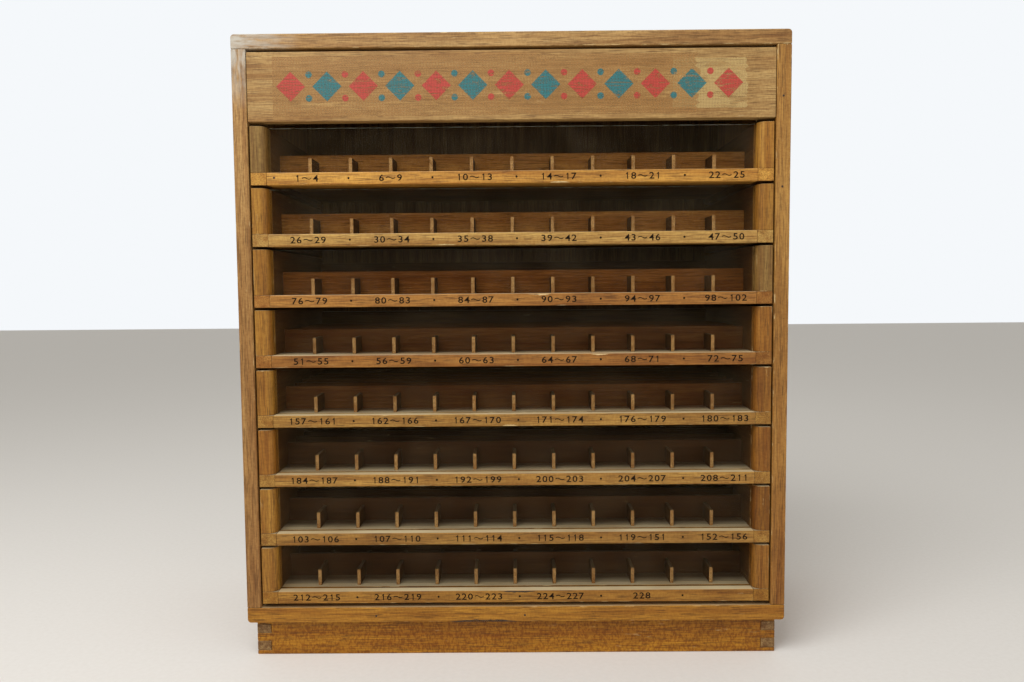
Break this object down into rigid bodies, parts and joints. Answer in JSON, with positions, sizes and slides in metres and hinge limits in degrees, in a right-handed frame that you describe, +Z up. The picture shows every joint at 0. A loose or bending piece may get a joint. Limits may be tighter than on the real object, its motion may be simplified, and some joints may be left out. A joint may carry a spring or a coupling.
{
  "type": "thread bobbin cabinet",
  "caption": "Open-fronted wooden cabinet on a plinth with shallow glass-fronted drawers split into small cells for thread bobbins, under a plain sign board.",
  "frame": {"origin": "under the middle of the plinth, on the surface it stands on", "axes": "+Z up, -Y out of the front towards the user, +X to the right seen from the front"},
  "size_m": [0.455, 0.195, 0.5193],
  "materials": {
    "case_wood": "worn varnish",
    "drawer_wood": "worn varnish",
    "tray_wood": "bare, dusty",
    "glass": "old sheet glass"
  },
  "bodies": {
    "case": {"top_panel": "case_wood", "bottom_panel": "case_wood", "left_side": "case_wood", "right_side": "case_wood", "back_panel": "case_wood", "header_board": "case_wood", "header_cleats": "case_wood", "plinth_front": "case_wood", "plinth_back": "case_wood", "plinth_left": "case_wood", "plinth_right": "case_wood", "runners": "case_wood"},
    "drawer_1": {"drawer_1_rail": "drawer_wood", "drawer_1_walls": "drawer_wood", "drawer_1_posts": "drawer_wood", "drawer_1_glass": "glass", "drawer_1_floor": "tray_wood", "drawer_1_dividers": "tray_wood"},
    "drawer_2": {"drawer_2_rail": "drawer_wood", "drawer_2_walls": "drawer_wood", "drawer_2_posts": "drawer_wood", "drawer_2_glass": "glass", "drawer_2_floor": "tray_wood", "drawer_2_dividers": "tray_wood"},
    "drawer_3": {"drawer_3_rail": "drawer_wood", "drawer_3_walls": "drawer_wood", "drawer_3_posts": "drawer_wood", "drawer_3_glass": "glass", "drawer_3_floor": "tray_wood", "drawer_3_dividers": "tray_wood"},
    "drawer_4": {"drawer_4_rail": "drawer_wood", "drawer_4_walls": "drawer_wood", "drawer_4_posts": "drawer_wood", "drawer_4_glass": "glass", "drawer_4_floor": "tray_wood", "drawer_4_dividers": "tray_wood"},
    "drawer_5": {"drawer_5_rail": "drawer_wood", "drawer_5_walls": "drawer_wood", "drawer_5_posts": "drawer_wood", "drawer_5_glass": "glass", "drawer_5_floor": "tray_wood", "drawer_5_dividers": "tray_wood"},
    "drawer_6": {"drawer_6_rail": "drawer_wood", "drawer_6_walls": "drawer_wood", "drawer_6_posts": "drawer_wood", "drawer_6_glass": "glass", "drawer_6_floor": "tray_wood", "drawer_6_dividers": "tray_wood"},
    "drawer_7": {"drawer_7_rail": "drawer_wood", "drawer_7_walls": "drawer_wood", "drawer_7_posts": "drawer_wood", "drawer_7_glass": "glass", "drawer_7_floor": "tray_wood", "drawer_7_dividers": "tray_wood"},
    "drawer_8": {"drawer_8_rail": "drawer_wood", "drawer_8_walls": "drawer_wood", "drawer_8_posts": "drawer_wood", "drawer_8_glass": "glass", "drawer_8_floor": "tray_wood", "drawer_8_dividers": "tray_wood"}
  },
  "joints": [
    {"name": "drawer_1_slide", "type": "slide", "parent": "case", "child": "drawer_1", "axis": [0, -1, 0], "range_m": [0, 0.14]},
    {"name": "drawer_2_slide", "type": "slide", "parent": "case", "child": "drawer_2", "axis": [0, -1, 0], "range_m": [0, 0.14]},
    {"name": "drawer_3_slide", "type": "slide", "parent": "case", "child": "drawer_3", "axis": [0, -1, 0], "range_m": [0, 0.14]},
    {"name": "drawer_4_slide", "type": "slide", "parent": "case", "child": "drawer_4", "axis": [0, -1, 0], "range_m": [0, 0.14]},
    {"name": "drawer_5_slide", "type": "slide", "parent": "case", "child": "drawer_5", "axis": [0, -1, 0], "range_m": [0, 0.14]},
    {"name": "drawer_6_slide", "type": "slide", "parent": "case", "child": "drawer_6", "axis": [0, -1, 0], "range_m": [0, 0.14]},
    {"name": "drawer_7_slide", "type": "slide", "parent": "case", "child": "drawer_7", "axis": [0, -1, 0], "range_m": [0, 0.14]},
    {"name": "drawer_8_slide", "type": "slide", "parent": "case", "child": "drawer_8", "axis": [0, -1, 0], "range_m": [0, 0.14]}
  ]
}
